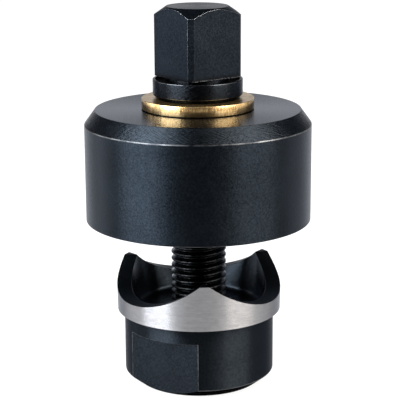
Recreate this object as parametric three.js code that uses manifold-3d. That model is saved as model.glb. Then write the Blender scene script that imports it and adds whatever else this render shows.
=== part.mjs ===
// A screw-operated round hole punch for sheet metal, in millimetres, with +Z up.
// Four loose pieces share the Z axis. From the ground up they are the punch with its scalloped crown, the die, the
// brass thrust washer and the drive bolt, whose shank runs down through all of them and screws into the punch.
// The origin is the centre of the punch's base. Bearings are degrees from the front (-Y) towards +X.
import * as THREE from 'three';
import { mergeVertices } from 'three/addons/utils/BufferGeometryUtils.js';
import Module from 'manifold-3d';

const wasm = await Module();
wasm.setup();

// Sizes that more than one piece follows
const cuttingDiameter = 30;
const boltDiameter = 10;
const boreClearance = 0.3;
const boreCountersink = 0.7;
const openGap = 8.7;

// Punch
const punchHeight = 21.4;
const rimTaper = 0.13;
const bandHeight = 8.1;
const bandStep = 1.25;
const baseChamferWidth = 2.3;
const baseChamferHeight = 1.8;
const cupDepth = 8.3;
const wallAtMouth = 2.2;
const wallAtFloor = 3.3;
const cupFillet = 1;
const flatDepth = 1.92;
const flatHeight = 10.4;
const flatBearing = -31.6;

// Crown of the punch: its scallops leave a narrow land at each tip
const tipCount = 3;
const tipBearing = 3.8;
const tipLandWidth = 1.75;
const scallopDepth = 5.05;

// Die
const shearClearance = 0.25;
const dieWall = 5;
const dieHeight = 20;
const dieWeb = 5.5;
const dieChamferWidth = 1.9;
const dieChamferHeight = 2.6;
const cavityFillet = 0.8;

// Thrust washer
const washerDiameter = 20;
const washerThickness = 2;
const washerEdgeChamfer = 0.2;

// Drive bolt
const boltLength = 50;
const boltTipChamfer = 1;
const squareAcrossFlats = 11.6;
const squareCornerDiameter = 15.3;
const squareHeight = 12.35;
const squareCornerBearing = -8.5;
const headChamferWidth = 2.15;
const headChamferHeight = 1.5;
const neckHeight = 0.4;
const neckDepth = 0.2;
const collarHeight = 3.4;
const collarLip = 0.35;
const collarFootChamfer = 0.7;
const collarRimChamfer = 0.2;

// How finely curves are cut, and how far a cutter runs past the face that it opens
const turnedSides = 72;
const scallopSteps = 24;
const filletSteps = 3;
const overrun = 2;

// Sizes and heights that follow from the ones above
const cuttingRadius = cuttingDiameter / 2;
const boltRadius = boltDiameter / 2;
const boreRadius = boltRadius + boreClearance;
const dieFootHeight = punchHeight + openGap;
const washerFootHeight = dieFootHeight + dieHeight;
const collarFootHeight = washerFootHeight + washerThickness;

const oxideSteel = new THREE.MeshStandardMaterial({ color: '#23272e', roughness: 0.42, metalness: 0.85 });
const brass = new THREE.MeshStandardMaterial({ color: '#c49a4e', roughness: 0.35, metalness: 1 });

const rad = THREE.MathUtils.degToRad;

// A plan point at a radius and a bearing
function polar(radius, bearing) {
  return new THREE.Vector2(radius * Math.sin(rad(bearing)), -radius * Math.cos(rad(bearing)));
}

function toSolid(geometry) {
  geometry.deleteAttribute('normal');
  geometry.deleteAttribute('uv');
  const merged = mergeVertices(geometry);
  const mesh = new wasm.Mesh({
    numProp: 3,
    vertProperties: merged.attributes.position.array,
    triVerts: Uint32Array.from(merged.index.array),
  });
  return new wasm.Manifold(mesh);
}

function toMesh(name, solid, material) {
  const { vertProperties, triVerts } = solid.getMesh();
  const geometry = new THREE.BufferGeometry();
  geometry.setAttribute('position', new THREE.BufferAttribute(vertProperties, 3));
  geometry.setIndex(new THREE.BufferAttribute(triVerts, 1));
  geometry.computeVertexNormals();
  const mesh = new THREE.Mesh(geometry, material);
  mesh.name = name;
  return mesh;
}

// Turns a profile of [radius, height] points about Z. The points go up the outside of the piece.
function turn(profile) {
  const points = profile.map(([radius, height]) => new THREE.Vector2(radius, height));
  const geometry = new THREE.LatheGeometry(points, turnedSides);
  geometry.rotateX(Math.PI / 2);
  return toSolid(geometry);
}

// The points of a quarter-round fillet between two angles, which are degrees from +radius towards +height
function filletArc(radius, height, size, from, to) {
  const points = [];
  for (let i = 0; i <= filletSteps; i += 1) {
    const angle = rad(from + ((to - from) * i) / filletSteps);
    points.push([radius + size * Math.cos(angle), height + size * Math.sin(angle)]);
  }
  return points;
}

// Joins a row of sections, each a closed loop of the same number of points, and caps both ends
function loft(sections) {
  const count = sections[0].length;
  const last = (sections.length - 1) * count;
  const indices = [];
  for (let i = 0; i < last; i += count) {
    for (let j = 0; j < count; j += 1) {
      const next = (j + 1) % count;
      indices.push(i + j, i + count + next, i + next);
      indices.push(i + j, i + count + j, i + count + next);
    }
  }
  for (let j = 1; j < count - 1; j += 1) {
    indices.push(0, j, j + 1);
    indices.push(last, last + j + 1, last + j);
  }
  const geometry = new THREE.BufferGeometry().setFromPoints(sections.flat());
  geometry.setIndex(indices);
  return toSolid(geometry);
}

// The cutter for one scallop of the crown. Its floor is an arc of the unrolled rim, ruled with level lines from the
// cup to the cutting edge. The lines fan, so neighbouring scallops meet in a point at the cup and leave the tip's
// three-cornered land at the cutting edge.
function scallopCutter(bearing) {
  const tipPitch = 360 / tipCount;
  const rimPitch = (2 * Math.PI * cuttingRadius) / tipCount;
  const halfWidth = (rimPitch - tipLandWidth) / 2;
  const arcRadius = (halfWidth ** 2 + scallopDepth ** 2) / (2 * scallopDepth);
  const outerHalfAngle = (halfWidth / rimPitch) * tipPitch;
  const innerHalfAngle = tipPitch / 2;
  const valleyHeight = punchHeight - scallopDepth;
  const top = punchHeight + overrun;
  const sections = [];
  for (let i = 0; i <= scallopSteps; i += 1) {
    const across = (2 * i) / scallopSteps - 1;
    const floor = valleyHeight + arcRadius - Math.sqrt(arcRadius ** 2 - (across * halfWidth) ** 2);
    const outer = polar(cuttingRadius, bearing + across * outerHalfAngle);
    const inner = polar(cuttingRadius - wallAtMouth, bearing + across * innerHalfAngle);
    const ruling = outer.clone().sub(inner).normalize().multiplyScalar(overrun);
    outer.add(ruling);
    inner.sub(ruling);
    sections.push([
      new THREE.Vector3(inner.x, inner.y, floor),
      new THREE.Vector3(outer.x, outer.y, floor),
      new THREE.Vector3(outer.x, outer.y, top),
      new THREE.Vector3(inner.x, inner.y, top),
    ]);
  }
  return loft(sections);
}

// The cutter for one of the two parallel spanner flats on the punch's body
function flatCutter(bearing, bodyRadius) {
  const depth = flatDepth + overrun;
  const height = flatHeight + overrun;
  const geometry = new THREE.BoxGeometry(2 * cuttingRadius, depth, height);
  const place = polar(bodyRadius - flatDepth + depth / 2, bearing);
  geometry.rotateZ(rad(bearing));
  geometry.translate(place.x, place.y, flatHeight - height / 2);
  return toSolid(geometry);
}

// A turned cup on a threaded body. The bore stands for the thread: it clears the bolt all round.
function makePunch() {
  const bandFoot = punchHeight - bandHeight;
  const bandFootRadius = cuttingRadius - rimTaper;
  const bodyRadius = bandFootRadius - bandStep;
  const cupFloor = punchHeight - cupDepth;
  const cupFloorRadius = cuttingRadius - wallAtFloor;
  const sinkRadius = boreRadius + boreCountersink;
  const blank = turn([
    [sinkRadius, 0],
    [bodyRadius - baseChamferWidth, 0],
    [bodyRadius, baseChamferHeight],
    [bodyRadius, bandFoot],
    [bandFootRadius, bandFoot],
    [cuttingRadius, punchHeight],
    [cuttingRadius - wallAtMouth, punchHeight],
    ...filletArc(cupFloorRadius - cupFillet, cupFloor + cupFillet, cupFillet, 0, -90),
    [sinkRadius, cupFloor],
    [boreRadius, cupFloor - boreCountersink],
    [boreRadius, boreCountersink],
    [sinkRadius, 0],
  ]);
  let punch = blank;
  for (let i = 0; i < tipCount; i += 1) {
    punch = punch.subtract(scallopCutter(tipBearing + ((i + 0.5) * 360) / tipCount));
  }
  for (const bearing of [flatBearing, flatBearing + 180]) {
    punch = punch.subtract(flatCutter(bearing, bodyRadius));
  }
  return toMesh('punch', punch, oxideSteel);
}

// A thick turned ring with a web across its top. The cavity takes the punch's crown and the slug.
function makeDie() {
  const cavityRadius = cuttingRadius + shearClearance;
  const dieRadius = cavityRadius + dieWall;
  const ceiling = dieHeight - dieWeb;
  const die = turn([
    [cavityRadius, 0],
    [dieRadius, 0],
    [dieRadius, dieHeight - dieChamferHeight],
    [dieRadius - dieChamferWidth, dieHeight],
    [boreRadius + boreCountersink, dieHeight],
    [boreRadius, dieHeight - boreCountersink],
    [boreRadius, ceiling],
    ...filletArc(cavityRadius - cavityFillet, ceiling - cavityFillet, cavityFillet, 90, 0),
    [cavityRadius, 0],
  ]);
  const mesh = toMesh('die', die, oxideSteel);
  mesh.position.z = dieFootHeight;
  return mesh;
}

// A loose ring that spares the die's top from the turning bolt
function makeWasher() {
  const radius = washerDiameter / 2;
  const washer = turn([
    [boreRadius + washerEdgeChamfer, 0],
    [radius - washerEdgeChamfer, 0],
    [radius, washerEdgeChamfer],
    [radius, washerThickness - washerEdgeChamfer],
    [radius - washerEdgeChamfer, washerThickness],
    [boreRadius + washerEdgeChamfer, washerThickness],
    [boreRadius, washerThickness - washerEdgeChamfer],
    [boreRadius, washerEdgeChamfer],
    [boreRadius + washerEdgeChamfer, 0],
  ]);
  const mesh = toMesh('thrust_washer', washer, brass);
  mesh.position.z = washerFootHeight;
  return mesh;
}

// The square is milled on a turned blank, whose rounded corners and top chamfer show where the flats end
function makeSquare(foot, cornerRadius) {
  const sharpRadius = squareAcrossFlats / Math.sqrt(2);
  const top = foot + squareHeight;
  const blank = turn([
    [0, foot],
    [cornerRadius, foot],
    [cornerRadius, top - headChamferHeight],
    [cornerRadius - headChamferWidth, top],
    [0, top],
  ]);
  const corners = [];
  for (let i = 0; i < 4; i += 1) {
    corners.push(polar(sharpRadius, squareCornerBearing + i * 90));
  }
  const prism = new THREE.ExtrudeGeometry(new THREE.Shape(corners), {
    depth: squareHeight + 2 * overrun,
    bevelEnabled: false,
  });
  prism.translate(0, 0, foot - overrun);
  return blank.intersect(toSolid(prism));
}

// The bolt's own origin is the middle of its collar's underside, which presses on the washer
function makeBolt() {
  const cornerRadius = squareCornerDiameter / 2;
  const collarRadius = cornerRadius + collarLip;
  const neckRadius = squareAcrossFlats / 2 - neckDepth;
  const squareFoot = collarHeight + neckHeight;
  const turned = turn([
    [0, -boltLength],
    [boltRadius - boltTipChamfer, -boltLength],
    [boltRadius, boltTipChamfer - boltLength],
    [boltRadius, 0],
    [collarRadius - collarFootChamfer, 0],
    [collarRadius, collarFootChamfer],
    [collarRadius, collarHeight - collarRimChamfer],
    [collarRadius - collarRimChamfer, collarHeight],
    [neckRadius, collarHeight],
    [neckRadius, squareFoot + overrun],
    [0, squareFoot + overrun],
  ]);
  const mesh = toMesh('drive_bolt', turned.add(makeSquare(squareFoot, cornerRadius)), oxideSteel);
  mesh.position.z = collarFootHeight;
  return mesh;
}

const holePunch = new THREE.Group();
holePunch.add(makePunch(), makeDie(), makeWasher(), makeBolt());

export default holePunch;
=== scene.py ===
# A screw-operated round hole punch for sheet metal, standing on its punch. Its pieces are made here from
# the ground up: the punch, the die, the brass thrust washer and the drive bolt. The table, the lights and
# the camera come after them.
import math

import bpy
from mathutils import Matrix, Vector


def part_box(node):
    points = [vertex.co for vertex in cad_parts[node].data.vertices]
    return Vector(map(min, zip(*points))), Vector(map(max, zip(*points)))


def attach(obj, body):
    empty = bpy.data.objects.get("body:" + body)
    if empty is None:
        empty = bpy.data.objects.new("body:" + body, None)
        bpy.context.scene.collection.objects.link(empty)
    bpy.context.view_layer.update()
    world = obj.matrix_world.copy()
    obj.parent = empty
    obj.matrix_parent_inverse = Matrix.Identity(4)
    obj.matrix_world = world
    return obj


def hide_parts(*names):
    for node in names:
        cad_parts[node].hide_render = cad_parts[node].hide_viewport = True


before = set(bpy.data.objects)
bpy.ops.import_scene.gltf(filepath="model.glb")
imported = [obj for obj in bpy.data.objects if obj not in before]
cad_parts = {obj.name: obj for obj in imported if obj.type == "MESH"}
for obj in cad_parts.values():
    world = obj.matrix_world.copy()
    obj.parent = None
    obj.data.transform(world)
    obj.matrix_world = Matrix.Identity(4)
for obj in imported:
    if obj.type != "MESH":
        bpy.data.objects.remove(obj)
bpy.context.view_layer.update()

# The punch: one piece of tool steel, turned to a cup on a tapped body and blackened. Three scallops milled
# in its rim leave three cutting tips, two spanner flats are milled on its body, and the band round the rim
# is ground bright.
MM = 0.001
MERGE_DISTANCE = 0.0005 * MM
SAME_PLACE = 0.004 * MM
SHARP_ANGLE = math.radians(22)
SQUARELY_SHARE = 0.9
PARTLY_SHARE = 0.3
NEIGHBOURS_SLOT = -1

CUTTING_RADIUS = 15 * MM
RIM_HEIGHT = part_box("punch")[1].z
VALLEY_HEIGHT = RIM_HEIGHT - 5.05 * MM
BAND_FOOT_HEIGHT = 13.3 * MM
BAND_FOOT_RADIUS = 14.87 * MM
BODY_RADIUS = 13.62 * MM
BASE_RADIUS = 11.32 * MM
BASE_CHAMFER_HEIGHT = 1.8 * MM
CUP_FLOOR_HEIGHT = 13.1 * MM
CUP_FLOOR_RADIUS = 11.7 * MM
CUP_MOUTH_RADIUS = 12.8 * MM
CUP_FILLET = 1 * MM
FILLET_STEPS = 6
TIP_COUNT = 3
TIP_BEARING = 3.8
CROWN_SIDES = 432
LAND_STEPS = 8
FLAT_DISTANCE = 11.7 * MM
FLAT_HEIGHT = 10.4 * MM
FLAT_BEARING = -31.6
FINE_EDGE = 0.06 * MM
BROKEN_EDGE = 0.12 * MM
CUT_OVERRUN = 2 * MM

THREAD_PITCH = 1.25 * MM
THREAD_CREST_RADIUS = 5 * MM
THREAD_ROOT_RADIUS = 4.23 * MM
THREAD_OUTLINE_SHARES = (
    (0, 0),
    (0, 0.058),
    (0.838, 0.356),
    (0.924, 0.4),
    (0.98, 0.461),
    (1, 0.529),
    (0.98, 0.597),
    (0.924, 0.658),
    (0.838, 0.702),
    (0, 1),
)
THREAD_STEPS = 72
TAP_CLEARANCE = 0.1 * MM
NUT_BORE_RADIUS = 4.38 * MM
SINK_RADIUS = 6 * MM


def activate(piece):
    """Leaves one piece selected and active."""
    bpy.ops.object.select_all(action="DESELECT")
    piece.select_set(True)
    bpy.context.view_layer.objects.active = piece


def turned(name, outline, sides, start_bearing=0, solid=False):
    """Drives a ring of edges along an outline of (radius, height) points, as a lathe tool goes round the
    work. The outline closes on itself, or in solid work its two ends are faced off to the middle."""
    radius, height = outline[0]
    bpy.ops.object.select_all(action="DESELECT")
    bpy.ops.mesh.primitive_circle_add(
        vertices=sides,
        radius=radius,
        location=(0, 0, height),
        rotation=(0, 0, math.radians(start_bearing)),
    )
    piece = bpy.context.object
    piece.name = name
    bpy.ops.object.transform_apply(location=True, rotation=True, scale=True)
    bpy.ops.object.mode_set(mode="EDIT")
    bpy.ops.mesh.select_all(action="SELECT")
    for next_radius, next_height in outline[1:] if solid else outline[1:] + outline[:1]:
        bpy.ops.mesh.extrude_edges_move()
        share = next_radius / radius
        bpy.ops.transform.resize(value=(share, share, 1), center_override=(0, 0, height))
        bpy.ops.transform.translate(value=(0, 0, next_height - height))
        radius, height = next_radius, next_height
    bpy.ops.mesh.select_all(action="SELECT")
    if solid:
        bpy.ops.mesh.fill_holes(sides=0)
    bpy.ops.mesh.remove_doubles(threshold=MERGE_DISTANCE)
    bpy.ops.mesh.normals_make_consistent(inside=False)
    bpy.ops.object.mode_set(mode="OBJECT")
    return piece


def quarter_round(radius, height, size, start, end):
    """The outline points of a fillet, between two angles in degrees from +radius towards +height."""
    angles = [math.radians(start + (end - start) * step / FILLET_STEPS) for step in range(FILLET_STEPS + 1)]
    return [(radius + size * math.cos(angle), height + size * math.sin(angle)) for angle in angles]


def apply_modifier(piece, kind, **settings):
    activate(piece)
    modifier = piece.modifiers.new(kind.title(), kind)
    for name, value in settings.items():
        setattr(modifier, name, value)
    bpy.ops.object.modifier_apply(modifier=modifier.name)


def machine(piece, tool, operation="DIFFERENCE"):
    """Cuts a piece by a tool's shape, and clears the tool away."""
    apply_modifier(piece, "BOOLEAN", operation=operation, solver="EXACT", object=tool)
    bpy.data.objects.remove(tool)


def select_edges(piece, wanted):
    """Goes into edit mode with those edges selected for which wanted(one end, other end) holds."""
    activate(piece)
    bpy.ops.object.mode_set(mode="EDIT")
    bpy.ops.mesh.select_mode(type="EDGE")
    bpy.ops.mesh.select_all(action="DESELECT")
    bpy.ops.object.mode_set(mode="OBJECT")
    corners = piece.data.vertices
    for edge in piece.data.edges:
        one, other = edge.vertices
        edge.select = wanted(corners[one].co, corners[other].co)
    bpy.ops.object.mode_set(mode="EDIT")


def break_edges(piece, wanted, width, slot=NEIGHBOURS_SLOT, segments=3):
    """Rounds the edges for which wanted(one end, other end) holds, as a file or a stone breaks them. The
    rounding takes its finish from a material slot, or from the faces beside it."""
    select_edges(piece, wanted)
    bpy.ops.mesh.bevel(offset=width, segments=segments, affect="EDGES", material=slot)
    bpy.ops.object.mode_set(mode="OBJECT")


def on_ring(radius, height):
    """A test for edges that lie on the turned corner at one radius and height."""

    def is_on_ring(one, other):
        return all(
            abs(point.z - height) < SAME_PLACE and abs(point.xy.length - radius) < SAME_PLACE
            for point in (one, other)
        )

    return is_on_ring


def shade(piece):
    """Smooth across small angles only, while broad faces keep their own direction."""
    activate(piece)
    bpy.ops.object.shade_smooth_by_angle(angle=SHARP_ANGLE)
    apply_modifier(piece, "WEIGHTED_NORMAL", keep_sharp=True)


def threaded_rod(name, crest_radius, root_radius, low, high):
    """A right-hand screw thread with a rounded crest: one tooth's outline, in shares of the thread's depth
    and pitch, swept up a helix, and both ends cut square."""
    depth = crest_radius - root_radius
    outline_moves = [
        ((deep - last_deep) * depth, 0, (along - last_along) * THREAD_PITCH)
        for (last_deep, last_along), (deep, along) in zip(THREAD_OUTLINE_SHARES, THREAD_OUTLINE_SHARES[1:])
    ]
    run_in = 2 * THREAD_PITCH
    first_turn = math.floor((low - run_in) / THREAD_PITCH)
    last_turn = math.ceil((high + run_in) / THREAD_PITCH)
    bpy.ops.object.select_all(action="DESELECT")
    bpy.ops.mesh.primitive_plane_add(size=THREAD_PITCH, location=(root_radius, 0, 0))
    rod = bpy.context.object
    rod.name = name
    bpy.ops.object.transform_apply(location=True, rotation=True, scale=True)
    bpy.ops.object.mode_set(mode="EDIT")
    bpy.ops.mesh.select_all(action="SELECT")
    bpy.ops.mesh.merge(type="CENTER")
    bpy.ops.mesh.select_mode(type="VERT")
    bpy.ops.mesh.select_all(action="SELECT")
    for move in outline_moves:
        bpy.ops.mesh.extrude_vertices_move(TRANSFORM_OT_translate={"value": move})
    bpy.ops.mesh.select_all(action="SELECT")
    bpy.ops.transform.translate(value=(0, 0, first_turn * THREAD_PITCH))
    bpy.ops.object.mode_set(mode="OBJECT")
    apply_modifier(
        rod,
        "SCREW",
        angle=math.tau,
        screw_offset=THREAD_PITCH,
        iterations=last_turn - first_turn,
        steps=THREAD_STEPS,
        render_steps=THREAD_STEPS,
        use_merge_vertices=True,
        merge_threshold=MERGE_DISTANCE,
    )
    bpy.ops.object.mode_set(mode="EDIT")
    bpy.ops.mesh.select_all(action="SELECT")
    bpy.ops.mesh.remove_doubles(threshold=SAME_PLACE)
    for height, facing in ((low, -1), (high, 1)):
        bpy.ops.mesh.select_all(action="SELECT")
        bpy.ops.mesh.bisect(
            plane_co=(0, 0, height),
            plane_no=(0, 0, facing),
            use_fill=True,
            clear_outer=True,
            threshold=MERGE_DISTANCE,
        )
    bpy.ops.mesh.select_all(action="SELECT")
    bpy.ops.mesh.normals_make_consistent(inside=False)
    bpy.ops.object.mode_set(mode="OBJECT")
    return rod


def mill_crown(piece):
    """Lowers the rim to three arcs of the unrolled rim. Each scallop is level from the cup to the cutting
    edge, and its lines fan, so that a three-cornered land is left at each tip."""
    third = CROWN_SIDES // TIP_COUNT
    half_land = LAND_STEPS // 2
    scallop_steps = third - LAND_STEPS
    half_width = CUTTING_RADIUS * math.pi / TIP_COUNT * scallop_steps / third
    drop = RIM_HEIGHT - VALLEY_HEIGHT
    arc_radius = (half_width**2 + drop**2) / (2 * drop)
    for corner in piece.data.vertices:
        if abs(corner.co.z - RIM_HEIGHT) > SAME_PLACE:
            continue
        bearing = math.degrees(math.atan2(corner.co.x, -corner.co.y))
        step = round((bearing - TIP_BEARING) / 360 * CROWN_SIDES) % third
        across = 2 * min(max((step - half_land) / scallop_steps, 0), 1) - 1
        height = VALLEY_HEIGHT + arc_radius - math.sqrt(arc_radius**2 - (across * half_width) ** 2)
        if corner.co.xy.length > (CUTTING_RADIUS + CUP_MOUTH_RADIUS) / 2:
            up = (height - BAND_FOOT_HEIGHT) / (RIM_HEIGHT - BAND_FOOT_HEIGHT)
            radius = BAND_FOOT_RADIUS + (CUTTING_RADIUS - BAND_FOOT_RADIUS) * up
        else:
            middle = bearing - (step - third / 2) * 360 / CROWN_SIDES
            bearing = middle + across * 180 / TIP_COUNT
            up = (height - CUP_FLOOR_HEIGHT) / (RIM_HEIGHT - CUP_FLOOR_HEIGHT)
            radius = CUP_FLOOR_RADIUS + (CUP_MOUTH_RADIUS - CUP_FLOOR_RADIUS) * up
        angle = math.radians(bearing)
        corner.co = (radius * math.sin(angle), -radius * math.cos(angle), height)
    activate(piece)
    bpy.ops.object.mode_set(mode="EDIT")
    bpy.ops.mesh.select_all(action="SELECT")
    bpy.ops.mesh.remove_doubles(threshold=SAME_PLACE)
    bpy.ops.object.mode_set(mode="OBJECT")


def on_cup_mouth(one, other):
    """A test for the edges where the scallops meet the cup's wall."""
    slope = (CUP_MOUTH_RADIUS - CUP_FLOOR_RADIUS) / (RIM_HEIGHT - CUP_FLOOR_HEIGHT)
    return all(
        point.z > VALLEY_HEIGHT - SAME_PLACE
        and abs(point.xy.length - CUP_FLOOR_RADIUS - (point.z - CUP_FLOOR_HEIGHT) * slope) < SAME_PLACE
        for point in (one, other)
    )


BAND_SLOT, WORN_SLOT, MILLED_SLOT, CUP_SLOT, PAINTED_SHADE_SLOT = range(1, 6)


def mill_flat(piece, bearing):
    """Mills one spanner flat, which ends square under the body's full round, and leaves its corners worn."""
    angle = math.radians(bearing)
    facing = Vector((math.sin(angle), -math.cos(angle), 0))
    depth = CUTTING_RADIUS
    height = FLAT_HEIGHT + CUT_OVERRUN
    place = facing * (FLAT_DISTANCE + depth / 2) + Vector((0, 0, FLAT_HEIGHT - height / 2))
    bpy.ops.object.select_all(action="DESELECT")
    bpy.ops.mesh.primitive_cube_add(size=1, location=place, rotation=(0, 0, angle))
    cutter = bpy.context.object
    cutter.scale = (2 * CUTTING_RADIUS, depth, height)
    bpy.ops.object.transform_apply(location=True, rotation=True, scale=True)
    machine(piece, cutter)

    def upright_side(one, other):
        on_flat = all(abs(point.dot(facing) - FLAT_DISTANCE) < SAME_PLACE for point in (one, other))
        return on_flat and abs(one.z - other.z) > (one - other).xy.length

    def ledge(one, other):
        at_top = all(abs(point.z - FLAT_HEIGHT) < SAME_PLACE for point in (one, other))
        outside = all(point.dot(facing) > FLAT_DISTANCE - SAME_PLACE for point in (one, other))
        return at_top and outside and (one + other).xy.length / 2 > BODY_RADIUS - BROKEN_EDGE

    for face in piece.data.polygons:
        at_flat = abs(face.center.dot(facing) - FLAT_DISTANCE) < SAME_PLACE
        if at_flat and face.normal.dot(facing) > SQUARELY_SHARE:
            face.material_index = MILLED_SLOT
    break_edges(
        piece, lambda one, other: upright_side(one, other) or ledge(one, other), FINE_EDGE, WORN_SLOT, 2
    )


class Amount:
    """One output of a finish's nodes. Arithmetic written with it adds Math nodes."""

    def __init__(self, finish, socket):
        self.finish = finish
        self.socket = socket

    def math(self, operation, first, second):
        return self.finish.node("ShaderNodeMath", {"operation": operation}, {0: first, 1: second})

    def __add__(self, other):
        return self.math("ADD", self, other)

    def __radd__(self, other):
        return self.math("ADD", other, self)

    def __sub__(self, other):
        return self.math("SUBTRACT", self, other)

    def __rsub__(self, other):
        return self.math("SUBTRACT", other, self)

    def __mul__(self, other):
        return self.math("MULTIPLY", self, other)

    def __rmul__(self, other):
        return self.math("MULTIPLY", other, self)

    def root(self):
        return self.math("POWER", self, 0.5)


class Finish:
    """A material, and the one method that adds any node to it."""

    def __init__(self, name, **constants):
        self.material = bpy.data.materials.new(name)
        self.material.use_nodes = True
        self.tree = self.material.node_tree
        self.shader = self.tree.nodes["Principled BSDF"]
        self.set(**constants)

    def set(self, **values):
        for name, value in values.items():
            self.feed(self.shader.inputs[name.replace("_", " ").title()], value)

    def feed(self, socket, value):
        if isinstance(value, Amount):
            self.tree.links.new(value.socket, socket)
        else:
            socket.default_value = value

    def node(self, kind, settings=None, inputs=None, output=0):
        node = self.tree.nodes.new(kind)
        for name, value in (settings or {}).items():
            setattr(node, name, value)
        for key, value in (inputs or {}).items():
            self.feed(node.inputs[key], value)
        return Amount(self, node.outputs[output])

    def place(self):
        """The place on the piece, in millimetres."""
        coordinates = self.node("ShaderNodeTexCoord", output="Object")
        return self.node("ShaderNodeVectorMath", {"operation": "SCALE"}, {0: coordinates, "Scale": 1 / MM})

    def axes(self, place):
        return [self.node("ShaderNodeSeparateXYZ", inputs={0: place}, output=axis) for axis in range(3)]

    def joined(self, x, y, z):
        return self.node("ShaderNodeCombineXYZ", inputs={0: x, 1: y, 2: z})

    def stretched(self, place, scale):
        return self.node("ShaderNodeVectorMath", {"operation": "MULTIPLY"}, {0: place, 1: scale})

    def rings(self, place):
        """A place that is the same all the way round the axis, for the marks that a lathe tool leaves."""
        x, y, z = self.axes(place)
        return self.joined((x * x + y * y).root(), 0, z)

    def slanted(self, place, twist):
        """The place turned about the axis in step with its height, so that upright streaks turn helical."""
        angle = self.axes(place)[2] * twist
        return self.node(
            "ShaderNodeVectorRotate", {"rotation_type": "Z_AXIS"}, {"Vector": place, "Angle": angle}
        )

    def noise(self, place, scale=1, detail=2, roughness=0.5):
        inputs = {"Vector": place, "Scale": scale, "Detail": detail, "Roughness": roughness}
        return self.node("ShaderNodeTexNoise", inputs=inputs)

    def spread(self, value, low, high, to_low=0, to_high=1):
        return self.node("ShaderNodeMapRange", inputs={0: value, 1: low, 2: high, 3: to_low, 4: to_high})

    def blend(self, share, first, second):
        inputs = {"Factor": share, 6: first, 7: second}
        return self.node("ShaderNodeMix", {"data_type": "RGBA"}, inputs, output=2)

    def bump(self, height):
        """Raises the surface by a height in millimetres."""
        normal = self.node("ShaderNodeBump", inputs={"Height": height, "Distance": MM, "Strength": 1})
        self.feed(self.shader.inputs["Normal"], normal)


OXIDE = ((0.0029, 0.0039, 0.0054, 1), (0.0068, 0.009, 0.012, 1))
PALE_OXIDE = ((0.0042, 0.0053, 0.0068, 1), (0.0084, 0.0105, 0.0132, 1))
# Near-black tones and a dull edge tint for painted shade, where shadow falls in recesses and against
# contact.
PAINTED_SHADE_TONES = ((0.0012, 0.0012, 0.0014, 1), (0.0028, 0.0028, 0.003, 1))
PAINTED_SHADE_EDGE_TINT = (0.25, 0.25, 0.27, 1)
SATIN_EDGE_TINT = (0.83, 0.87, 0.94, 1)
DULL_EDGE_TINT = (0.58, 0.6, 0.64, 1)
WORN_STEEL = (0.06, 0.062, 0.066, 1)
GROUND_STEEL_DARK = (0.162, 0.162, 0.17, 1)
GROUND_STEEL_LIGHT = (0.202, 0.202, 0.211, 1)
ROUND_THE_AXIS = 0.25

CLOUD_FINENESS = 0.2
GRAIN_FINENESS = 2.8
RING_FINENESS = 3.4
GRAIN_TONE_SHARE = 0.75
FINER_NOISE_SHARE = 0.6
ROUGHNESS_SWING = 0.04
STREAK_LENGTH_SHARE = 0.12
TONE_RANGE = (0.35, 0.65)
GRAIN_RANGE = (0.3, 0.7)


def oxide_finish(
    name, roughness, streaks, edge_tint, grain_depth=0.02, ring_depth=0.014, slants=(), tones=OXIDE
):
    """Blue-black oxide: dark and satin over the steel's fine grain, the lathe's rings, and the slanting
    marks of the belt that polished it, each set with its twist, its fineness and its depth. Streaks is how
    far the rings draw the highlights out, and all depths are in millimetres."""
    finish = Finish(name, metallic=1, anisotropic=streaks, specular_tint=edge_tint)
    finish.set(anisotropic_rotation=ROUND_THE_AXIS)
    place = finish.place()
    cloud = finish.noise(place, CLOUD_FINENESS, 2)
    grain = finish.noise(place, GRAIN_FINENESS, 3, FINER_NOISE_SHARE)
    height = grain * grain_depth + finish.noise(finish.rings(place), RING_FINENESS, 2) * ring_depth
    for twist, fineness, depth in slants:
        streak = finish.stretched(finish.slanted(place, twist), (fineness, fineness, STREAK_LENGTH_SHARE))
        height = height + finish.noise(streak, 1, 2, FINER_NOISE_SHARE) * depth
    tone = finish.spread(grain * GRAIN_TONE_SHARE + cloud * (1 - GRAIN_TONE_SHARE), *TONE_RANGE)
    smoothest = roughness - ROUGHNESS_SWING
    roughest = roughness + ROUGHNESS_SWING
    finish.set(
        base_color=finish.blend(tone, *tones),
        roughness=finish.spread(grain, *GRAIN_RANGE, smoothest, roughest),
    )
    finish.bump(height)
    return finish


WORN_ROUGHNESS = 0.36
BREAK_FINENESS = 1.4


def worn_finish(name, patch_fineness, low, high, steel, raggedness):
    """A corner where handling has broken the oxide and steel shows in places."""
    finish = Finish(name, metallic=1, roughness=WORN_ROUGHNESS)
    place = finish.place()
    patches = finish.noise(place, patch_fineness, 2)
    breaks = finish.noise(place, BREAK_FINENESS, 3, FINER_NOISE_SHARE)
    wear = finish.spread(patches * (1 - raggedness) + breaks * raggedness, low, high)
    finish.set(base_color=finish.blend(wear, PALE_OXIDE[0], steel))
    return finish


GRINDING_FINENESS = 4
GROUND_GRAIN = (0.9, 0.9, 2.2)
GROUND_ROUGHNESS = (0.255, 0.265)
GRINDING_DEPTH = 0.0015


def ground_finish(name):
    """Bare steel as the grinding wheel leaves it, in fine lines round the axis."""
    finish = Finish(name, metallic=1, anisotropic=0.9, specular_tint=DULL_EDGE_TINT)
    finish.set(anisotropic_rotation=ROUND_THE_AXIS)
    place = finish.place()
    lines = finish.noise(finish.rings(place), GRINDING_FINENESS, 2, FINER_NOISE_SHARE)
    grain = finish.noise(finish.stretched(place, GROUND_GRAIN), 1, 2)
    tone = finish.spread((lines + grain) * 0.5, *TONE_RANGE)
    finish.set(
        base_color=finish.blend(tone, GROUND_STEEL_DARK, GROUND_STEEL_LIGHT),
        roughness=finish.spread(grain, *GRAIN_RANGE, *GROUND_ROUGHNESS),
    )
    finish.bump(lines * GRINDING_DEPTH)
    return finish


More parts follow.
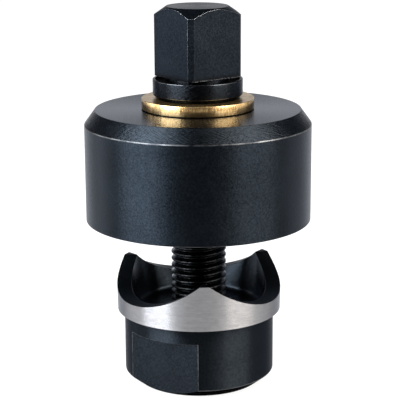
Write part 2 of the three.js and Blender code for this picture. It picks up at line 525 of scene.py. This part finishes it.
body_oxide = oxide_finish(
    "body_oxide",
    roughness=0.44,
    streaks=0.95,
    edge_tint=DULL_EDGE_TINT,
    grain_depth=0.01,
    ring_depth=0.006,
    tones=PALE_OXIDE,
)
milled_oxide = oxide_finish(
    "milled_oxide",
    roughness=0.4,
    streaks=0,
    edge_tint=DULL_EDGE_TINT,
    grain_depth=0.024,
    ring_depth=0,
    tones=PALE_OXIDE,
)
cup_marks = ((0.12, 1.2, 0.02),)
cup_oxide = oxide_finish(
    "cup_oxide",
    roughness=0.24,
    streaks=0.95,
    edge_tint=SATIN_EDGE_TINT,
    grain_depth=0.008,
    ring_depth=0.004,
    slants=cup_marks,
    tones=PALE_OXIDE,
)
# Painted shade: a near-black finish for the punch's base chamfer, the collar's groove and the washer's foot
# edge.
painted_shade_oxide = oxide_finish(
    "painted_shade_oxide",
    roughness=0.6,
    streaks=0,
    edge_tint=PAINTED_SHADE_EDGE_TINT,
    grain_depth=0.012,
    ring_depth=0,
    tones=PAINTED_SHADE_TONES,
)
worn_edge = worn_finish(
    "worn_oxide_edge", patch_fineness=0.16, low=0.4, high=0.62, steel=WORN_STEEL, raggedness=0.3
)
ground_steel = ground_finish("ground_steel_band")

punch = turned(
    "punch_steel",
    [
        (SINK_RADIUS, 0),
        (BASE_RADIUS, 0),
        (BODY_RADIUS, BASE_CHAMFER_HEIGHT),
        (BODY_RADIUS, BAND_FOOT_HEIGHT),
        (BAND_FOOT_RADIUS, BAND_FOOT_HEIGHT),
        (CUTTING_RADIUS, RIM_HEIGHT),
        (CUP_MOUTH_RADIUS, RIM_HEIGHT),
    ]
    + quarter_round(CUP_FLOOR_RADIUS - CUP_FILLET, CUP_FLOOR_HEIGHT + CUP_FILLET, CUP_FILLET, 0, -90)
    + [
        (SINK_RADIUS, CUP_FLOOR_HEIGHT),
        (NUT_BORE_RADIUS, CUP_FLOOR_HEIGHT - SINK_RADIUS + NUT_BORE_RADIUS),
        (NUT_BORE_RADIUS, SINK_RADIUS - NUT_BORE_RADIUS),
    ],
    CROWN_SIDES,
    TIP_BEARING,
)
mill_crown(punch)
for finish in (body_oxide, ground_steel, worn_edge, milled_oxide, cup_oxide, painted_shade_oxide):
    punch.data.materials.append(finish.material)
for face in punch.data.polygons:
    outward = face.normal.xy.length > SQUARELY_SHARE and face.normal.xy.dot(face.center.xy) > 0
    if outward and face.center.z > BAND_FOOT_HEIGHT and face.center.xy.length > BODY_RADIUS:
        face.material_index = BAND_SLOT
    elif face.center.z > VALLEY_HEIGHT - SAME_PLACE and face.normal.z > PARTLY_SHARE:
        face.material_index = MILLED_SLOT
    elif face.center.z > CUP_FLOOR_HEIGHT - SAME_PLACE and face.center.xy.length < CUP_MOUTH_RADIUS:
        face.material_index = CUP_SLOT
    # The base chamfer, down against the table, takes painted contact shadow.
    elif SAME_PLACE < face.center.z < BASE_CHAMFER_HEIGHT and face.center.xy.length > SINK_RADIUS:
        face.material_index = PAINTED_SHADE_SLOT
break_edges(punch, on_cup_mouth, FINE_EDGE, WORN_SLOT, 1)
break_edges(punch, on_ring(BODY_RADIUS, BASE_CHAMFER_HEIGHT), BROKEN_EDGE, WORN_SLOT)
break_edges(punch, on_ring(BASE_RADIUS, 0), BROKEN_EDGE)
break_edges(punch, on_ring(BAND_FOOT_RADIUS, BAND_FOOT_HEIGHT), FINE_EDGE)
for bearing in (FLAT_BEARING, FLAT_BEARING + 180):
    mill_flat(punch, bearing)
tap = threaded_rod(
    "tap",
    THREAD_CREST_RADIUS + TAP_CLEARANCE,
    THREAD_ROOT_RADIUS + TAP_CLEARANCE,
    -CUT_OVERRUN,
    CUP_FLOOR_HEIGHT + CUT_OVERRUN,
)
machine(punch, tap)
shade(punch)
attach(punch, "punch")
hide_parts("punch")

# The die: a thick ring of the same blackened steel, bored out below to a cavity that takes the punch's
# crown and the slug, with a web left across its top. The bolt's shank passes through a plain hole in it.
DIE_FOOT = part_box("die")[0].z
DIE_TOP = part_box("die")[1].z
DIE_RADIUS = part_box("die")[1].x
DIE_CHAMFER_WIDTH = 1.9 * MM
DIE_CHAMFER_HEIGHT = 2.6 * MM
CAVITY_RADIUS = 15.25 * MM
CAVITY_HEIGHT = DIE_TOP - 5.5 * MM
CAVITY_FILLET = 0.8 * MM
CLEAR_BORE_RADIUS = 5.3 * MM
TURNED_SIDES = 360

die = turned(
    "die_steel",
    [
        (CAVITY_RADIUS, DIE_FOOT),
        (DIE_RADIUS, DIE_FOOT),
        (DIE_RADIUS, DIE_TOP - DIE_CHAMFER_HEIGHT),
        (DIE_RADIUS - DIE_CHAMFER_WIDTH, DIE_TOP),
        (SINK_RADIUS, DIE_TOP),
        (CLEAR_BORE_RADIUS, DIE_TOP - SINK_RADIUS + CLEAR_BORE_RADIUS),
        (CLEAR_BORE_RADIUS, CAVITY_HEIGHT),
    ]
    + quarter_round(CAVITY_RADIUS - CAVITY_FILLET, CAVITY_HEIGHT - CAVITY_FILLET, CAVITY_FILLET, 90, 0),
    TURNED_SIDES,
)
side_marks = ((0.05, 2.2, 0.014),)
turned_oxide = oxide_finish(
    "turned_oxide", roughness=0.42, streaks=0.9, edge_tint=SATIN_EDGE_TINT, slants=side_marks
)
faced_oxide = oxide_finish(
    "faced_oxide",
    roughness=0.25,
    streaks=0.8,
    edge_tint=SATIN_EDGE_TINT,
    grain_depth=0.006,
    ring_depth=0.006,
)
chamfer_marks = ((0.13, 2.4, 0.1), (-0.1, 2.4, 0.05))
chamfer_oxide = oxide_finish(
    "chamfer_oxide",
    roughness=0.31,
    streaks=0.95,
    edge_tint=DULL_EDGE_TINT,
    grain_depth=0.008,
    ring_depth=0.008,
    slants=chamfer_marks,
    tones=PALE_OXIDE,
)
DIE_WORN_SLOT, FACED_SLOT, CHAMFER_SLOT = range(1, 4)
for finish in (turned_oxide, worn_edge, faced_oxide, chamfer_oxide):
    die.data.materials.append(finish.material)
for face in die.data.polygons:
    if face.normal.z > SQUARELY_SHARE:
        face.material_index = FACED_SLOT
    elif face.normal.z > PARTLY_SHARE and face.center.xy.length > SINK_RADIUS:
        face.material_index = CHAMFER_SLOT
break_edges(die, on_ring(DIE_RADIUS, DIE_TOP - DIE_CHAMFER_HEIGHT), BROKEN_EDGE, DIE_WORN_SLOT)
break_edges(die, on_ring(DIE_RADIUS - DIE_CHAMFER_WIDTH, DIE_TOP), FINE_EDGE)
break_edges(die, on_ring(DIE_RADIUS, DIE_FOOT), BROKEN_EDGE, DIE_WORN_SLOT)
shade(die)
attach(die, "die")
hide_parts("die")

# The thrust washer: a loose brass ring that spares the die's top from the turning bolt. It is taken as
# blanked from plate, because of the upright grain on its side.
WASHER_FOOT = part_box("thrust_washer")[0].z
WASHER_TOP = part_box("thrust_washer")[1].z
WASHER_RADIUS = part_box("thrust_washer")[1].x
WASHER_BORE_RADIUS = 5.3 * MM
WASHER_EDGE = 0.15 * MM
WASHER_FOOT_EDGE = 0.2 * MM

BRASS_DARK = (0.13, 0.068, 0.016, 1)
BRASS_LIGHT = (0.4, 0.275, 0.13, 1)
CLEAN_BRASS = 0.6
TARNISH_SWING = 0.05


def brass_finish(name, roughness, fineness, tarnish, grain_depth):
    """Brass, with a grain that has its own fineness along each axis. Tarnish is the level in the grain's
    dips at which the brass is darkest, and the depth is in millimetres."""
    finish = Finish(name, metallic=1)
    place = finish.place()
    grain = finish.noise(finish.stretched(place, fineness), 1, 3, FINER_NOISE_SHARE)
    tone = finish.spread(grain, tarnish, CLEAN_BRASS)
    finish.set(
        base_color=finish.blend(tone, BRASS_DARK, BRASS_LIGHT),
        roughness=finish.spread(grain, *GRAIN_RANGE, roughness + TARNISH_SWING, roughness - TARNISH_SWING),
    )
    finish.bump(grain * grain_depth)
    return finish


brass_face = brass_finish(
    "brass_face", roughness=0.26, fineness=(0.8, 0.8, 0.8), tarnish=0.1, grain_depth=0.006
)
brass_side = brass_finish(
    "sheared_brass_side", roughness=0.22, fineness=(3.6, 3.6, 0.8), tarnish=0.34, grain_depth=0.032
)
FACE_SLOT, SIDE_SLOT, FOOT_SLOT = range(3)
washer = turned(
    "washer_brass",
    [
        (WASHER_BORE_RADIUS, WASHER_FOOT),
        (WASHER_RADIUS, WASHER_FOOT),
        (WASHER_RADIUS, WASHER_TOP),
        (WASHER_BORE_RADIUS, WASHER_TOP),
    ],
    TURNED_SIDES,
)
for finish in (brass_face, brass_side, painted_shade_oxide):
    washer.data.materials.append(finish.material)
for face in washer.data.polygons:
    if abs(face.normal.z) < PARTLY_SHARE:
        face.material_index = SIDE_SLOT
break_edges(washer, on_ring(WASHER_RADIUS, WASHER_TOP), WASHER_EDGE, FACE_SLOT)
break_edges(washer, on_ring(WASHER_BORE_RADIUS, WASHER_TOP), WASHER_EDGE, FACE_SLOT)
break_edges(washer, on_ring(WASHER_BORE_RADIUS, WASHER_FOOT), WASHER_EDGE, FACE_SLOT)
# The foot edge, against the die's top, is rounded in the painted-shade finish: a painted shadow line.
break_edges(washer, on_ring(WASHER_RADIUS, WASHER_FOOT), WASHER_FOOT_EDGE, FOOT_SLOT)
shade(washer)
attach(washer, "washer")
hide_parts("thrust_washer")

# The drive bolt: turned from one bar and blackened. Its shank has an M10 x 1.25 right-hand thread, a round
# collar presses on the washer, and its top is milled to a square with turned corners for a spanner.
BOLT_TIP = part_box("drive_bolt")[0].z
SQUARE_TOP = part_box("drive_bolt")[1].z
BOLT_TIP_RADIUS = 4 * MM
THREAD_END_HEIGHT = 46 * MM
SHANK_RADIUS = 4.9 * MM
COLLAR_FOOT = WASHER_TOP
COLLAR_TOP = COLLAR_FOOT + 3.4 * MM
COLLAR_RADIUS = 8 * MM
COLLAR_FOOT_CHAMFER = 0.7 * MM
COLLAR_RIM_WIDTH = 0.45 * MM
GROOVE_DEPTH = 0.35 * MM
NECK_RADIUS = 5.6 * MM
SQUARE_FOOT = COLLAR_TOP + 0.4 * MM
SQUARE_ACROSS_FLATS = 11.6 * MM
SQUARE_CORNER_WIDTH = 1.147 * MM
SQUARE_CORNER_BEARING = -8.5
SQUARE_TOP_RADIUS = 5.5 * MM
SQUARE_CHAMFER_SLOPE = 1.5 / 2.15
CONE_SIDES = 180
HEAD_EDGE = 0.13 * MM
HEAD_EDGE_STEEL = (0.18, 0.185, 0.195, 1)
UPRIGHT_EDGE_STEEL = (0.036, 0.038, 0.041, 1)
TOP_EDGE_TINT = (0.66, 0.68, 0.72, 1)
BOLT_POINT_REACH = 8 * MM
THREAD_OXIDE = ((0.0035, 0.0037, 0.0039, 1), (0.008, 0.0085, 0.0091, 1))
OILY_OXIDE = ((0.002, 0.0024, 0.003, 1), (0.0056, 0.0066, 0.0082, 1))
RUBBED_OXIDE = ((0.02, 0.0215, 0.024, 1), (0.04, 0.0425, 0.048, 1))
UPRIGHT_LIMIT_SHARE = 0.1

BURR_BEARING = 36.5
BURR_HEIGHT = 0.24
BURR_FINENESS = 4.5
BURR_RANGE = (0.46, 0.6)
BURR_REACH_SQUARED = (30, 31)
# Heights above the square's foot, in millimetres, where the painted shade is full and where it has faded
# out.
FOOT_SHADE_FULL_HEIGHT = 0.1
FOOT_SHADE_TOP_HEIGHT = 0.8


def head_finish(name):
    """The square's milled faces: satin oxide with painted shade that darkens them towards their foot above
    the groove, and along the foot of the two faces where the cutter left the work, a row of bright burrs.
    Its heights and reach are in millimetres, as the place is."""
    finish = oxide_finish(
        name, roughness=0.37, streaks=0, edge_tint=DULL_EDGE_TINT, grain_depth=0.014, ring_depth=0
    )
    place = finish.place()
    x, y, z = finish.axes(place)
    foot = SQUARE_FOOT / MM
    # Painted shade: the faces darken towards their foot, above the groove.
    foot_shade_share = finish.spread(z, foot + FOOT_SHADE_FULL_HEIGHT, foot + FOOT_SHADE_TOP_HEIGHT, 1, 0)
    across = x * math.sin(math.radians(BURR_BEARING)) - y * math.cos(math.radians(BURR_BEARING))
    on_face = finish.spread(across * across, *BURR_REACH_SQUARED)
    torn = finish.spread(finish.noise(place, BURR_FINENESS, 2), *BURR_RANGE)
    burrs = finish.spread(z, foot + BURR_HEIGHT, foot + BURR_HEIGHT / 2) * torn * on_face
    oxide_colour = Amount(finish, finish.shader.inputs["Base Color"].links[0].from_socket)
    # The painted shade, blended towards near-black at the foot.
    foot_shaded_colour = finish.blend(foot_shade_share, oxide_colour, PAINTED_SHADE_TONES[1])
    finish.set(base_color=finish.blend(burrs, foot_shaded_colour, WORN_STEEL))
    return finish


THREAD_MARKS = ((0.9, 1.4, 0.09),)
OIL_FINENESS = 0.8
OIL_RANGE = (0.42, 0.58)
OIL_ROUGHNESS = (0.11, 0.26)


def thread_finish(name):
    """The thread's oxide under a film of oil that has run thin in places, which breaks up its glints."""
    finish = oxide_finish(
        name,
        roughness=OIL_ROUGHNESS[0],
        streaks=0,
        edge_tint=SATIN_EDGE_TINT,
        grain_depth=0.03,
        ring_depth=0,
        slants=THREAD_MARKS,
        tones=THREAD_OXIDE,
    )
    film = finish.noise(finish.place(), OIL_FINENESS, 2)
    finish.set(roughness=finish.spread(film, *OIL_RANGE, *OIL_ROUGHNESS))
    return finish


threads = threaded_rod(
    "drive_bolt_steel",
    THREAD_CREST_RADIUS,
    THREAD_ROOT_RADIUS,
    BOLT_TIP - CUT_OVERRUN,
    THREAD_END_HEIGHT,
)
point = turned(
    "bolt_point",
    [
        (BOLT_TIP_RADIUS, BOLT_TIP),
        (BOLT_POINT_REACH, BOLT_TIP + BOLT_POINT_REACH - BOLT_TIP_RADIUS),
        (BOLT_POINT_REACH, THREAD_END_HEIGHT + CUT_OVERRUN),
    ],
    TURNED_SIDES,
    solid=True,
)
machine(threads, point, "INTERSECT")
shank = turned(
    "shank",
    [
        (SHANK_RADIUS, THREAD_END_HEIGHT - THREAD_PITCH),
        (SHANK_RADIUS, COLLAR_FOOT),
        (COLLAR_RADIUS - COLLAR_FOOT_CHAMFER, COLLAR_FOOT),
        (COLLAR_RADIUS, COLLAR_FOOT + COLLAR_FOOT_CHAMFER),
        (COLLAR_RADIUS, COLLAR_TOP),
        (COLLAR_RADIUS - COLLAR_RIM_WIDTH, COLLAR_TOP),
        (COLLAR_RADIUS - COLLAR_RIM_WIDTH - GROOVE_DEPTH, COLLAR_TOP - GROOVE_DEPTH),
        (NECK_RADIUS, COLLAR_TOP - GROOVE_DEPTH),
        (NECK_RADIUS, SQUARE_FOOT + CUT_OVERRUN),
    ],
    TURNED_SIDES,
    solid=True,
)
collar_marks = ((-0.24, 3.2, 0.06),)
collar_oxide = oxide_finish(
    "collar_oxide",
    roughness=0.29,
    streaks=0.95,
    edge_tint=DULL_EDGE_TINT,
    grain_depth=0.004,
    ring_depth=0,
    slants=collar_marks,
    tones=OILY_OXIDE,
)
rim_oxide = oxide_finish(
    "collar_rim",
    roughness=0.2,
    streaks=0,
    edge_tint=DULL_EDGE_TINT,
    grain_depth=0.004,
    ring_depth=0,
    tones=RUBBED_OXIDE,
)
RIM_SLOT, GROOVE_SLOT = range(1, 3)
for finish in (collar_oxide, rim_oxide, painted_shade_oxide):
    shank.data.materials.append(finish.material)
# The groove round the neck takes the painted-shade finish: painted shade in the recess.
for face in shank.data.polygons:
    in_groove = COLLAR_TOP - GROOVE_DEPTH - SAME_PLACE < face.center.z < COLLAR_TOP - SAME_PLACE
    if in_groove and face.center.xy.length < COLLAR_RADIUS:
        face.material_index = GROOVE_SLOT
break_edges(shank, on_ring(COLLAR_RADIUS, COLLAR_FOOT + COLLAR_FOOT_CHAMFER), FINE_EDGE, RIM_SLOT)
break_edges(shank, on_ring(COLLAR_RADIUS, COLLAR_TOP), BROKEN_EDGE, RIM_SLOT)
bpy.ops.object.select_all(action="DESELECT")
bpy.ops.mesh.primitive_cylinder_add(
    vertices=4,
    radius=SQUARE_ACROSS_FLATS / math.sqrt(2),
    depth=SQUARE_TOP - SQUARE_FOOT,
    location=(0, 0, (SQUARE_TOP + SQUARE_FOOT) / 2),
    rotation=(0, 0, math.radians(SQUARE_CORNER_BEARING)),
)
square = bpy.context.object
bpy.ops.object.transform_apply(location=True, rotation=True, scale=True)
select_edges(square, lambda one, other: abs(one.z - other.z) > SAME_PLACE)
bpy.ops.mesh.bevel(offset=SQUARE_CORNER_WIDTH / math.sqrt(2), segments=1, affect="EDGES")
bpy.ops.object.mode_set(mode="OBJECT")
cone_run = SQUARE_ACROSS_FLATS - SQUARE_TOP_RADIUS
cone = turned(
    "head_chamfer",
    [
        (SQUARE_ACROSS_FLATS, SQUARE_FOOT - CUT_OVERRUN),
        (SQUARE_ACROSS_FLATS, SQUARE_TOP - cone_run * SQUARE_CHAMFER_SLOPE),
        (SQUARE_TOP_RADIUS, SQUARE_TOP),
    ],
    CONE_SIDES,
    solid=True,
)
machine(square, cone, "INTERSECT")
head_oxide = head_finish("head_oxide")
head_edge, upright_edge = (
    worn_finish(name, patch_fineness=0.14, low=0.34, high=0.54, steel=steel, raggedness=0.08)
    for name, steel in (("head_edge", HEAD_EDGE_STEEL), ("upright_head_edge", UPRIGHT_EDGE_STEEL))
)
top_marks = ((0, 0.9, 0.03),)
square_top_oxide = oxide_finish(
    "square_top_oxide",
    roughness=0.3,
    streaks=0.3,
    edge_tint=TOP_EDGE_TINT,
    grain_depth=0.025,
    ring_depth=0.01,
    slants=top_marks,
)
EDGE_SLOT, TOP_SLOT, UPRIGHT_SLOT = range(1, 4)
for finish in (head_oxide, head_edge, square_top_oxide, upright_edge):
    square.data.materials.append(finish.material)
apply_modifier(
    square,
    "BEVEL",
    width=HEAD_EDGE,
    segments=1,
    limit_method="ANGLE",
    angle_limit=SHARP_ANGLE,
    material=EDGE_SLOT,
)
for face in square.data.polygons:
    if face.normal.z > SQUARELY_SHARE:
        face.material_index = TOP_SLOT
    elif face.material_index == EDGE_SLOT and abs(face.normal.z) < UPRIGHT_LIMIT_SHARE:
        face.material_index = UPRIGHT_SLOT
thread_oxide = thread_finish("thread_oxide")
threads.data.materials.append(thread_oxide.material)
activate(threads)
shank.select_set(True)
square.select_set(True)
bpy.ops.object.join()
bolt = threads
shade(bolt)
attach(bolt, "bolt")
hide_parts("drive_bolt")

# The table: a plain white light table that the punch stands on. It is an acrylic sheet lit softly from
# beneath, and lies a hair under the base so that the two faces aren't in one plane.
FLOOR_SIZE = 12
FLOOR_CLEARANCE = 0.01 * MM
bpy.ops.object.select_all(action="DESELECT")
bpy.ops.mesh.primitive_plane_add(size=FLOOR_SIZE, location=(0, 0, -FLOOR_CLEARANCE))
table = bpy.context.object
table.name = "table"
bpy.ops.object.transform_apply(location=True, rotation=True, scale=True)
table_finish = Finish(
    "light_table",
    roughness=0.6,
    base_color=(0.08, 0.08, 0.08, 1),
    emission_color=(1, 1, 1, 1),
    emission_strength=0.85,
)
table.data.materials.append(table_finish.material)

# The lights: a broad soft box and a low white card on each side, a dimmer box behind, and a pale room.
# The left soft box is a little cool and the right one a little warm.
LIGHT_TARGET_HEIGHT = 30 * MM
SOFT_BOX_DISTANCE = 500 * MM
SOFT_BOX_SIZE = (400 * MM, 600 * MM)
BACK_BOX_DISTANCE = 1200 * MM
BACK_BOX_SIZE = (1000 * MM, 900 * MM)
CARD_DISTANCE = 600 * MM
CARD_SIZE = (300 * MM, 300 * MM)
WHITE_LIGHT = (1, 1, 1)
COOL_LIGHT = (0.95, 0.98, 1)
WARM_LIGHT = (1, 0.94, 0.85)
ROOM_BRIGHTNESS = 0.3

scene = bpy.context.scene
scene.view_settings.view_transform = "Standard"


def soft_box(name, bearing, elevation, distance, size, power, colour=WHITE_LIGHT):
    """A soft box at a bearing from the front and a height angle, facing the object's middle."""
    light = bpy.data.lights.new(name, "AREA")
    light.shape = "RECTANGLE"
    light.size, light.size_y = size
    light.energy = power
    light.color = colour
    box = bpy.data.objects.new(name, light)
    scene.collection.objects.link(box)
    side = math.radians(bearing)
    rise = math.radians(elevation)
    target = Vector((0, 0, LIGHT_TARGET_HEIGHT))
    away = Vector((math.sin(side) * math.cos(rise), -math.cos(side) * math.cos(rise), math.sin(rise)))
    box.location = target + away * distance
    box.rotation_euler = away.to_track_quat("Z", "Y").to_euler()


soft_box("left_soft_box", -60, 30, SOFT_BOX_DISTANCE, SOFT_BOX_SIZE, power=22, colour=COOL_LIGHT)
soft_box("right_soft_box", 60, 35, SOFT_BOX_DISTANCE, SOFT_BOX_SIZE, power=14.5, colour=WARM_LIGHT)
soft_box("back_soft_box", 180, 20, BACK_BOX_DISTANCE, BACK_BOX_SIZE, power=1.3)
soft_box("left_card", -103, 3, CARD_DISTANCE, CARD_SIZE, power=1.8)
soft_box("right_card", 98, 3, CARD_DISTANCE, CARD_SIZE, power=0.9)
world = bpy.data.worlds.new("pale_room")
scene.world = world
world.use_nodes = True
room = world.node_tree.nodes["Background"]
room.inputs["Color"].default_value = (*WHITE_LIGHT, 1)
room.inputs["Strength"].default_value = ROOM_BRIGHTNESS

# The camera, where a fit to ten of the photograph's own circles puts it. It stands in front and looks down
# by about 14 degrees.
CAMERA_PLACE = Vector((0, -247.5, 95.54)) * MM
CAMERA_TILT = 14.128
CAMERA_TURN = -0.069
CAMERA_ROLL = -0.299
CAMERA_LENS = 127.14
SENSOR_WIDTH = 36
CAMERA_NEAR_LIMIT = 10 * MM

camera_data = bpy.data.cameras.new("camera")
camera_data.lens = CAMERA_LENS
camera_data.sensor_width = SENSOR_WIDTH
camera_data.clip_start = CAMERA_NEAR_LIMIT
camera = bpy.data.objects.new("camera", camera_data)
scene.collection.objects.link(camera)
turn = Matrix.Rotation(math.radians(CAMERA_TURN), 4, "Z")
tilt = Matrix.Rotation(math.radians(90 - CAMERA_TILT), 4, "X")
roll = Matrix.Rotation(math.radians(CAMERA_ROLL), 4, "Z")
camera.matrix_world = Matrix.Translation(CAMERA_PLACE) @ turn @ tilt @ roll
scene.camera = camera
